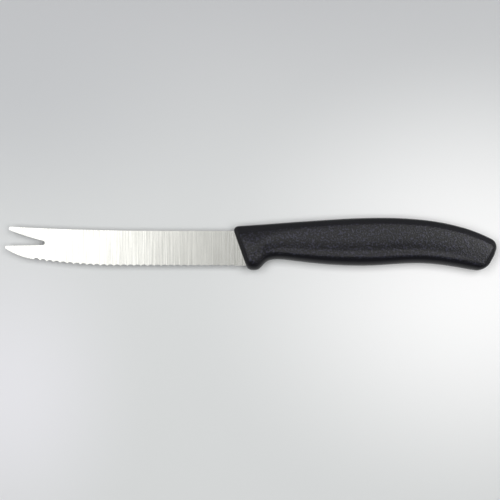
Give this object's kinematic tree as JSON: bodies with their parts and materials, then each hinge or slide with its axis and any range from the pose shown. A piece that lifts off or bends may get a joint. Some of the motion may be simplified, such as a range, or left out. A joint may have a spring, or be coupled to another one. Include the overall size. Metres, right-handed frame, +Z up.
{
  "type": "tomato knife",
  "caption": "Small serrated kitchen knife with a forked tip and a moulded plastic handle, lying on its side.",
  "frame": {"origin": "on the surface under the knife as it lies on its side, below the middle of its length and depth", "axes": "+X along the knife from the forked tip to the butt, +Y from the cutting edge to the spine, +Z up, across the thickness"},
  "size_m": [0.2239, 0.024, 0.013],
  "materials": {
    "blade_steel": "stainless steel, fine grind lines across the blade",
    "handle_plastic": "black polypropylene, fine moulded grain, smoother along the rims"
  },
  "bodies": {
    "root": {"blade": "blade_steel", "handle": "handle_plastic"}
  },
  "joints": []
}
